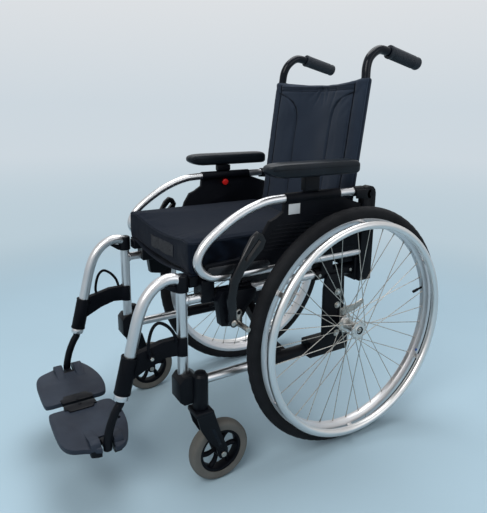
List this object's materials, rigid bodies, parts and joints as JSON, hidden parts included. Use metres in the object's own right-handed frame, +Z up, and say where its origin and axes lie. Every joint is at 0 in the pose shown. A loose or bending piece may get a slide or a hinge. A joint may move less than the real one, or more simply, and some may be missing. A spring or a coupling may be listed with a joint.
{
  "type": "active wheelchair",
  "caption": "Folding active wheelchair with scissor frame, spoked rear wheels with handrims, swivel casters, flip-back side guards and swing-away legrests.",
  "frame": {"origin": "on the floor under the middle of the chair's box", "axes": "+Z up, the chair faces -Y, +X is the user's left"},
  "size_m": [0.597, 0.9961, 0.9912],
  "materials": {
    "frame_silver": "satin silver lacquer",
    "bright_aluminium": "bright anodised",
    "spoke_steel": "bright",
    "gloss_black_tube": "gloss black powder coat",
    "black_plastic": "fine grain",
    "armrest_foam": "skinned foam",
    "grip_rubber": "ribbed matte",
    "tyre_rubber": "matte",
    "caster_rubber": "matte grey",
    "footplate_plastic": "textured",
    "back_fabric": "fine vertical weave",
    "seat_fabric": "woven nylon",
    "red_plastic": "gloss"
  },
  "bodies": {
    "frame_left": {"side_frame_left": "frame_silver", "axle_plate_left": "black_plastic", "back_tube_left": "gloss_black_tube", "push_grip_left": "grip_rubber", "guard_receiver_left": "black_plastic", "brake_mount_left": "black_plastic", "caster_housing_left": "black_plastic", "seat_sling": "seat_fabric", "seat_cushion": "seat_fabric", "back_upholstery": "back_fabric"},
    "wheel_left": {"rear_tyre_left": "tyre_rubber", "rear_rim_left": "bright_aluminium", "hub_and_spokes_left": "spoke_steel", "handrim_left": "bright_aluminium"},
    "axle_button_left": {"axle_button_left": "spoke_steel"},
    "caster_swivel_left": {"caster_fork_left": "black_plastic"},
    "caster_wheel_left": {"caster_rim_left": "black_plastic", "caster_tyre_left": "caster_rubber"},
    "brake_lever_left": {"brake_lever_left": "black_plastic"},
    "brake_shoe_left": {"brake_shoe_left": "spoke_steel"},
    "guard_left": {"guard_tube_left": "frame_silver", "guard_panel_left": "black_plastic"},
    "armrest_left": {"armrest_post_left": "black_plastic", "armrest_pad_left": "armrest_foam"},
    "armrest_button_left": {"armrest_button_left": "red_plastic"},
    "hanger_left": {"hanger_tube_left": "frame_silver", "hanger_bracket_left": "black_plastic"},
    "hanger_lever_left": {"release_lever_left": "black_plastic"},
    "extension_left": {"leg_extension_left": "black_plastic"},
    "footplate_left": {"footplate_left": "footplate_plastic"},
    "frame_right": {"side_frame_right": "frame_silver", "axle_plate_right": "black_plastic", "back_tube_right": "gloss_black_tube", "push_grip_right": "grip_rubber", "guard_receiver_right": "black_plastic", "brake_mount_right": "black_plastic", "caster_housing_right": "black_plastic"},
    "wheel_right": {"rear_tyre_right": "tyre_rubber", "rear_rim_right": "bright_aluminium", "hub_and_spokes_right": "spoke_steel", "handrim_right": "bright_aluminium"},
    "axle_button_right": {"axle_button_right": "spoke_steel"},
    "caster_swivel_right": {"caster_fork_right": "black_plastic"},
    "caster_wheel_right": {"caster_rim_right": "black_plastic", "caster_tyre_right": "caster_rubber"},
    "brake_lever_right": {"brake_lever_right": "black_plastic"},
    "brake_shoe_right": {"brake_shoe_right": "spoke_steel"},
    "guard_right": {"guard_tube_right": "frame_silver", "guard_panel_right": "black_plastic"},
    "armrest_right": {"armrest_post_right": "black_plastic", "armrest_pad_right": "armrest_foam"},
    "armrest_button_right": {"armrest_button_right": "red_plastic"},
    "hanger_right": {"hanger_tube_right": "frame_silver", "hanger_bracket_right": "black_plastic"},
    "hanger_lever_right": {"release_lever_right": "black_plastic"},
    "extension_right": {"leg_extension_right": "black_plastic"},
    "footplate_right": {"footplate_right": "footplate_plastic"},
    "arm_a": {"cross_arm_a": "black_plastic"},
    "arm_b": {"cross_arm_b": "black_plastic"}
  },
  "joints": [
    {"name": "frame_fold", "type": "hinge", "parent": "frame_left", "child": "arm_a", "pos_m": [0.187, 0.1935, 0.236], "axis": [0, 1, 0], "range_deg": [0, 38], "deforming": ["seat_sling", "seat_cushion", "back_upholstery"]},
    {"name": "brace_scissor", "type": "hinge", "parent": "arm_a", "child": "arm_b", "pos_m": [0, 0.1935, 0.35758], "axis": [0, 1, 0], "range_deg": [-76, 0]},
    {"name": "right_frame_upright", "type": "hinge", "parent": "arm_b", "child": "frame_right", "pos_m": [-0.187, 0.1935, 0.236], "axis": [0, 1, 0], "range_deg": [0, 38]},
    {"name": "rear_wheel_spin_left", "type": "hinge", "parent": "frame_left", "child": "wheel_left", "pos_m": [0.253, 0.1935, 0.305], "axis": [1, 0, 0], "continuous": true},
    {"name": "axle_button_press_left", "type": "slide", "parent": "frame_left", "child": "axle_button_left", "axis": [-1, 0, 0], "range_m": [0, 0.003], "stiffness_N_per_m": 400, "springref_m": -0.002},
    {"name": "caster_turn_left", "type": "hinge", "parent": "frame_left", "child": "caster_swivel_left", "pos_m": [0.222, -0.2115, 0.192], "axis": [0, 0, 1], "continuous": true},
    {"name": "caster_spin_left", "type": "hinge", "parent": "caster_swivel_left", "child": "caster_wheel_left", "pos_m": [0.222, -0.1675, 0.0726], "axis": [1, 0, 0], "continuous": true},
    {"name": "brake_apply_left", "type": "hinge", "parent": "frame_left", "child": "brake_lever_left", "pos_m": [0.24, -0.1405, 0.384], "axis": [1, 0, 0], "range_deg": [0, 45]},
    {"name": "brake_press_left", "type": "hinge", "parent": "frame_left", "child": "brake_shoe_left", "pos_m": [0.24, -0.1185, 0.398], "axis": [1, 0, 0], "range_deg": [0, 15]},
    {"name": "guard_flip_left", "type": "hinge", "parent": "frame_left", "child": "guard_left", "pos_m": [0.208, 0.2635, 0.63], "axis": [-1, 0, 0], "range_deg": [0, 90]},
    {"name": "armrest_height_left", "type": "slide", "parent": "guard_left", "child": "armrest_left", "axis": [0, 0, 1], "range_m": [0, 0.06]},
    {"name": "armrest_button_press_left", "type": "slide", "parent": "guard_left", "child": "armrest_button_left", "axis": [1, 0, 0], "range_m": [0, 0.0015], "stiffness_N_per_m": 600, "springref_m": -0.002},
    {"name": "legrest_swing_left", "type": "hinge", "parent": "frame_left", "child": "hanger_left", "pos_m": [0.187, -0.2365, 0.434], "axis": [0, 0, 1], "range_deg": [0, 85]},
    {"name": "legrest_release_left", "type": "hinge", "parent": "hanger_left", "child": "hanger_lever_left", "pos_m": [0.1985, -0.3125, 0.326], "axis": [1, 0, 0], "range_deg": [0, 14], "stiffness_Nm_per_rad": 0.6, "springref_deg": -8.59},
    {"name": "leg_length_left", "type": "slide", "parent": "hanger_left", "child": "extension_left", "axis": [0, -0.2461, -0.9693], "range_m": [0, 0.06]},
    {"name": "footplate_flip_left", "type": "hinge", "parent": "extension_left", "child": "footplate_left", "pos_m": [0.16, -0.4105, 0.146], "axis": [0, 1, 0], "range_deg": [0, 89.5]},
    {"name": "rear_wheel_spin_right", "type": "hinge", "parent": "frame_right", "child": "wheel_right", "pos_m": [-0.253, 0.1935, 0.305], "axis": [1, 0, 0], "continuous": true},
    {"name": "axle_button_press_right", "type": "slide", "parent": "frame_right", "child": "axle_button_right", "axis": [1, 0, 0], "range_m": [0, 0.003], "stiffness_N_per_m": 400, "springref_m": -0.002},
    {"name": "caster_turn_right", "type": "hinge", "parent": "frame_right", "child": "caster_swivel_right", "pos_m": [-0.222, -0.2115, 0.192], "axis": [0, 0, 1], "continuous": true},
    {"name": "caster_spin_right", "type": "hinge", "parent": "caster_swivel_right", "child": "caster_wheel_right", "pos_m": [-0.222, -0.1675, 0.0726], "axis": [1, 0, 0], "continuous": true},
    {"name": "brake_apply_right", "type": "hinge", "parent": "frame_right", "child": "brake_lever_right", "pos_m": [-0.24, -0.1405, 0.384], "axis": [1, 0, 0], "range_deg": [0, 45]},
    {"name": "brake_press_right", "type": "hinge", "parent": "frame_right", "child": "brake_shoe_right", "pos_m": [-0.24, -0.1185, 0.398], "axis": [1, 0, 0], "range_deg": [0, 15]},
    {"name": "guard_flip_right", "type": "hinge", "parent": "frame_right", "child": "guard_right", "pos_m": [-0.208, 0.2635, 0.63], "axis": [-1, 0, 0], "range_deg": [0, 90]},
    {"name": "armrest_height_right", "type": "slide", "parent": "guard_right", "child": "armrest_right", "axis": [0, 0, 1], "range_m": [0, 0.06]},
    {"name": "armrest_button_press_right", "type": "slide", "parent": "guard_right", "child": "armrest_button_right", "axis": [-1, 0, 0], "range_m": [0, 0.0015], "stiffness_N_per_m": 600, "springref_m": -0.002},
    {"name": "legrest_swing_right", "type": "hinge", "parent": "frame_right", "child": "hanger_right", "pos_m": [-0.187, -0.2365, 0.434], "axis": [0, 0, -1], "range_deg": [0, 85]},
    {"name": "legrest_release_right", "type": "hinge", "parent": "hanger_right", "child": "hanger_lever_right", "pos_m": [-0.1985, -0.3125, 0.326], "axis": [1, 0, 0], "range_deg": [0, 14], "stiffness_Nm_per_rad": 0.6, "springref_deg": -8.59},
    {"name": "leg_length_right", "type": "slide", "parent": "hanger_right", "child": "extension_right", "axis": [0, -0.2461, -0.9693], "range_m": [0, 0.06]},
    {"name": "footplate_flip_right", "type": "hinge", "parent": "extension_right", "child": "footplate_right", "pos_m": [-0.16, -0.4105, 0.146], "axis": [0, -1, 0], "range_deg": [0, 89.5]}
  ],
  "couplings": [
    {"joint": "brace_scissor", "follows": "frame_fold", "ratio": -2},
    {"joint": "right_frame_upright", "follows": "frame_fold", "ratio": 1},
    {"joint": "brake_press_left", "follows": "brake_apply_left", "ratio": 0.33333},
    {"joint": "footplate_flip_left", "follows": "frame_fold", "ratio": 2.35},
    {"joint": "brake_press_right", "follows": "brake_apply_right", "ratio": 0.33333},
    {"joint": "footplate_flip_right", "follows": "frame_fold", "ratio": 2.35}
  ]
}
